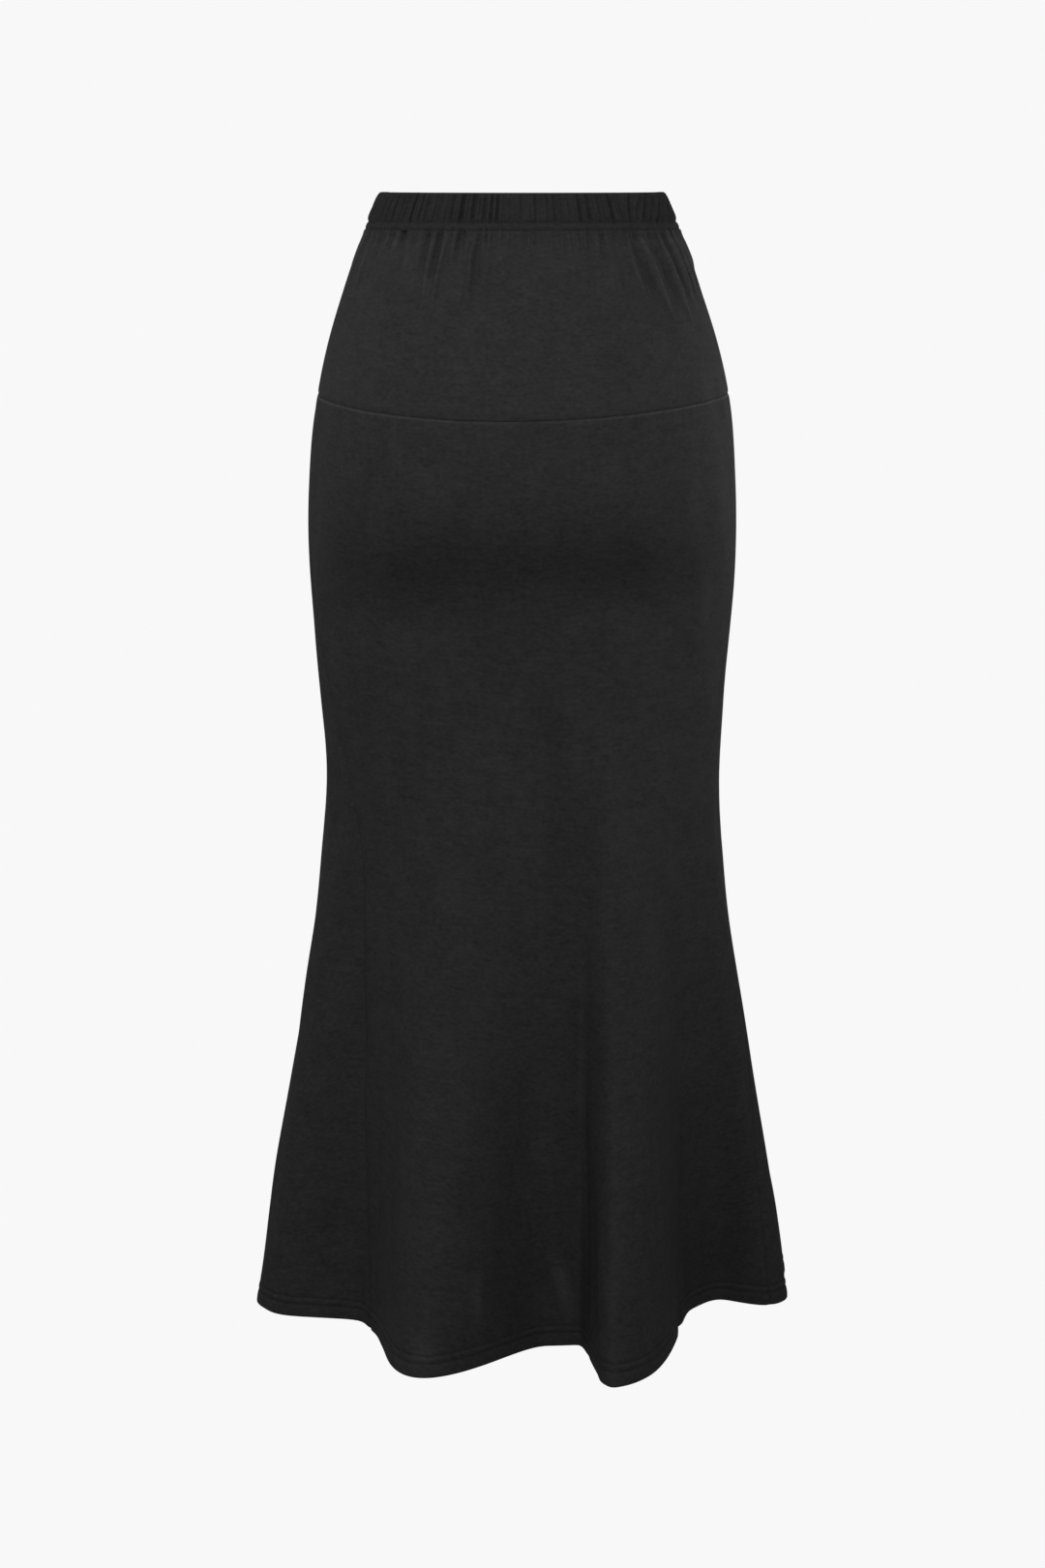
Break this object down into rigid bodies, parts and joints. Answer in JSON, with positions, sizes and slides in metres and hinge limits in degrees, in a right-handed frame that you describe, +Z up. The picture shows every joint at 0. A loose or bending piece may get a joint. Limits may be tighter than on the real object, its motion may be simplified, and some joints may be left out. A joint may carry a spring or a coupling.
{
  "type": "mermaid fishtail skirt",
  "caption": "Long close-fitting jersey skirt with a gathered elastic casing, a hip yoke and a flare that opens into a fluted fishtail hem, open at waist and hem.",
  "frame": {"origin": "centre of the waist opening, halfway up the elastic casing, where the wearer's waist holds the skirt", "axes": "+Z up along the wearer; the skirt's back faces -Y and its right side faces +X"},
  "size_m": [0.4612, 0.4087, 0.941],
  "materials": {
    "casing_jersey": "matt black jersey knit, doubled over elastic and gathered",
    "yoke_jersey": "matt black jersey knit with a faint sheen",
    "panel_jersey": "matt black jersey knit with a faint sheen"
  },
  "bodies": {
    "root": {"casing_back": "casing_jersey", "casing_front": "casing_jersey", "yoke_back": "yoke_jersey", "yoke_front": "yoke_jersey", "panel_back": "panel_jersey", "panel_front": "panel_jersey"}
  },
  "joints": []
}
